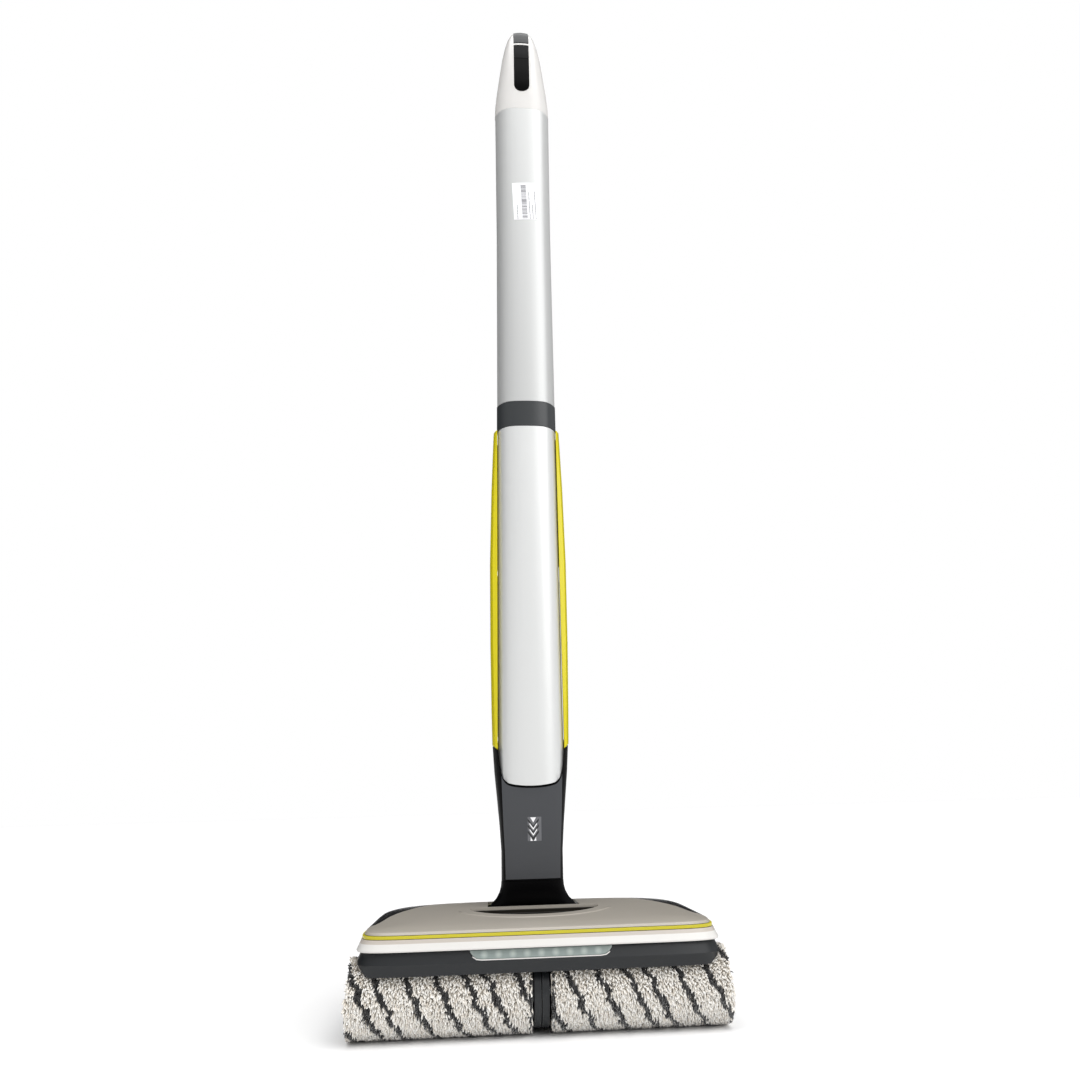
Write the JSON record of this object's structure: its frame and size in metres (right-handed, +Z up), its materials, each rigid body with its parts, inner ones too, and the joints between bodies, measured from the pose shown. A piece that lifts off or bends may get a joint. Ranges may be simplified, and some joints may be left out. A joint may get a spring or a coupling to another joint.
{
  "type": "cordless wet floor scrubber",
  "caption": "Upright cordless wet floor scrubber that stands on a wide low head of paired powered rollers, with a hinged neck, water tanks and a loop handle.",
  "frame": {"origin": "on the floor, under the middle of the head", "axes": "+Z up along the parked stick, the front with the display and lamp faces -Y, X is the width"},
  "size_m": [0.308, 0.234, 1.22],
  "materials": {
    "cover": "smooth warm grey, semi-gloss",
    "white": "smooth white",
    "yellow": "lime yellow, semi-gloss",
    "charcoal": "fine matte",
    "black": "satin",
    "black_gloss": "high gloss",
    "silver": "light silver lacquer",
    "panel": "light grey, semi-gloss",
    "neck_grey": "satin",
    "button_grey": "fine matte",
    "pile": "shaggy microfibre pile with dark stripes",
    "lens": "translucent pale grey-green",
    "board": "green circuit board",
    "steel": "turned steel",
    "gear": "natural nylon",
    "bronze": "sintered bronze",
    "tank": "smoked plastic",
    "rubber": "matte",
    "battery": "shrink sleeve"
  },
  "bodies": {
    "head": {"head_chassis": "black", "bumper_ring": "charcoal", "light_lens": "lens", "light_board": "board", "cover_skirt": "white", "trim_ring": "yellow", "top_cover": "cover", "corner_panel_left": "black_gloss", "corner_panel_right": "black_gloss", "gearcase_left": "charcoal", "gearcase_right": "charcoal", "drive_motor": "steel", "front_bush_left": "bronze", "front_bush_right": "bronze", "rear_bush_left": "bronze", "rear_bush_right": "bronze", "pivot_pin_left": "steel", "pivot_pin_right": "steel"},
    "release_pedal": {"release_pedal": "charcoal"},
    "dirty_tank": {"dirty_tank": "tank"},
    "motor_pinion": {"motor_pinion": "steel"},
    "idler_1": {"idler_gear_1": "gear"},
    "idler_2": {"idler_gear_2": "gear"},
    "idler_3": {"idler_gear_3": "gear"},
    "idler_4": {"idler_gear_4": "gear"},
    "front_axle": {"front_axle": "steel", "front_drive_gear": "gear"},
    "rear_axle": {"rear_axle": "steel", "rear_drive_gear": "gear"},
    "roller_front_left": {"roller_core_front_left": "black", "roller_pile_front_left": "pile"},
    "roller_front_right": {"roller_core_front_right": "black", "roller_pile_front_right": "pile"},
    "roller_rear_left": {"roller_core_rear_left": "black", "roller_pile_rear_left": "pile"},
    "roller_rear_right": {"roller_core_rear_right": "black", "roller_pile_rear_right": "pile"},
    "yoke": {"yoke": "black"},
    "stick": {"neck_shell": "black", "neck_plate": "neck_grey", "body_frame": "black", "front_panel": "panel", "side_rail_left": "yellow", "side_rail_right": "yellow", "rear_cover": "charcoal", "collar": "charcoal", "handle_tube": "silver", "battery_pack": "battery", "control_board": "board", "water_pump": "black", "handle_shell": "white", "handle_grip": "black", "display_window": "black_gloss"},
    "clean_tank": {"clean_tank": "tank"},
    "tank_cap": {"tank_cap": "yellow"},
    "tank_latch": {"tank_latch": "yellow"},
    "boost_button": {"boost_button": "black"},
    "power_button": {"power_button": "button_grey"},
    "socket_flap": {"socket_flap": "rubber"}
  },
  "joints": [
    {"name": "front_axle_spin", "type": "hinge", "parent": "head", "child": "front_axle", "pos_m": [0, -0.085, 0.03], "axis": [1, 0, 0], "continuous": true},
    {"name": "idler_1_spin", "type": "hinge", "parent": "head", "child": "idler_1", "pos_m": [0, -0.051, 0.03], "axis": [1, 0, 0], "continuous": true},
    {"name": "idler_2_spin", "type": "hinge", "parent": "head", "child": "idler_2", "pos_m": [0, -0.017, 0.03], "axis": [1, 0, 0], "continuous": true},
    {"name": "idler_3_spin", "type": "hinge", "parent": "head", "child": "idler_3", "pos_m": [0, 0.017, 0.03], "axis": [1, 0, 0], "continuous": true},
    {"name": "idler_4_spin", "type": "hinge", "parent": "head", "child": "idler_4", "pos_m": [0, 0.051, 0.03], "axis": [1, 0, 0], "continuous": true},
    {"name": "rear_axle_spin", "type": "hinge", "parent": "head", "child": "rear_axle", "pos_m": [0, 0.085, 0.03], "axis": [1, 0, 0], "continuous": true},
    {"name": "pinion_spin", "type": "hinge", "parent": "head", "child": "motor_pinion", "pos_m": [0, -0.017, 0.056], "axis": [1, 0, 0], "continuous": true},
    {"name": "roller_front_left_pull", "type": "slide", "parent": "front_axle", "child": "roller_front_left", "axis": [-1, 0, 0], "range_m": [0, 0.16]},
    {"name": "roller_front_right_pull", "type": "slide", "parent": "front_axle", "child": "roller_front_right", "axis": [1, 0, 0], "range_m": [0, 0.16]},
    {"name": "roller_rear_left_pull", "type": "slide", "parent": "rear_axle", "child": "roller_rear_left", "axis": [-1, 0, 0], "range_m": [0, 0.16]},
    {"name": "roller_rear_right_pull", "type": "slide", "parent": "rear_axle", "child": "roller_rear_right", "axis": [1, 0, 0], "range_m": [0, 0.16]},
    {"name": "pedal_press", "type": "slide", "parent": "head", "child": "release_pedal", "axis": [0, 0, -1], "range_m": [0, 0.004], "stiffness_N_per_m": 900},
    {"name": "dirty_tank_drop", "type": "slide", "parent": "head", "child": "dirty_tank", "axis": [0, 0, -1], "range_m": [0, 0.05]},
    {"name": "stick_tilt", "type": "hinge", "parent": "head", "child": "yoke", "pos_m": [0, 0.042, 0.072], "axis": [-1, 0, 0], "range_deg": [0, 52]},
    {"name": "stick_swivel", "type": "hinge", "parent": "yoke", "child": "stick", "pos_m": [0, 0.042, 0.104], "axis": [0, 0, 1], "range_deg": [-35, 35]},
    {"name": "clean_tank_slide", "type": "slide", "parent": "stick", "child": "clean_tank", "axis": [0, 1, 0], "range_m": [0, 0.12]},
    {"name": "tank_cap_turn", "type": "hinge", "parent": "clean_tank", "child": "tank_cap", "pos_m": [-0.014, 0.073, 0.42], "axis": [0, 0, 1], "range_deg": [0, 90]},
    {"name": "tank_latch_press", "type": "slide", "parent": "clean_tank", "child": "tank_latch", "axis": [0, 0, -1], "range_m": [0, 0.003], "stiffness_N_per_m": 600},
    {"name": "boost_press", "type": "slide", "parent": "stick", "child": "boost_button", "axis": [0, 0.9976, -0.0698], "range_m": [0, 0.0015], "stiffness_N_per_m": 800},
    {"name": "power_press", "type": "slide", "parent": "stick", "child": "power_button", "axis": [0, 0.8746, -0.4848], "range_m": [0, 0.001], "stiffness_N_per_m": 800},
    {"name": "socket_flap_swing", "type": "hinge", "parent": "stick", "child": "socket_flap", "pos_m": [0, 0.094, 0.469], "axis": [1, 0, 0], "range_deg": [0, 110]}
  ],
  "couplings": [
    {"joint": "idler_1_spin", "follows": "front_axle_spin", "ratio": -1},
    {"joint": "idler_2_spin", "follows": "front_axle_spin", "ratio": 1},
    {"joint": "idler_3_spin", "follows": "front_axle_spin", "ratio": -1},
    {"joint": "idler_4_spin", "follows": "front_axle_spin", "ratio": 1},
    {"joint": "rear_axle_spin", "follows": "front_axle_spin", "ratio": -1},
    {"joint": "pinion_spin", "follows": "front_axle_spin", "ratio": -1.8889}
  ]
}
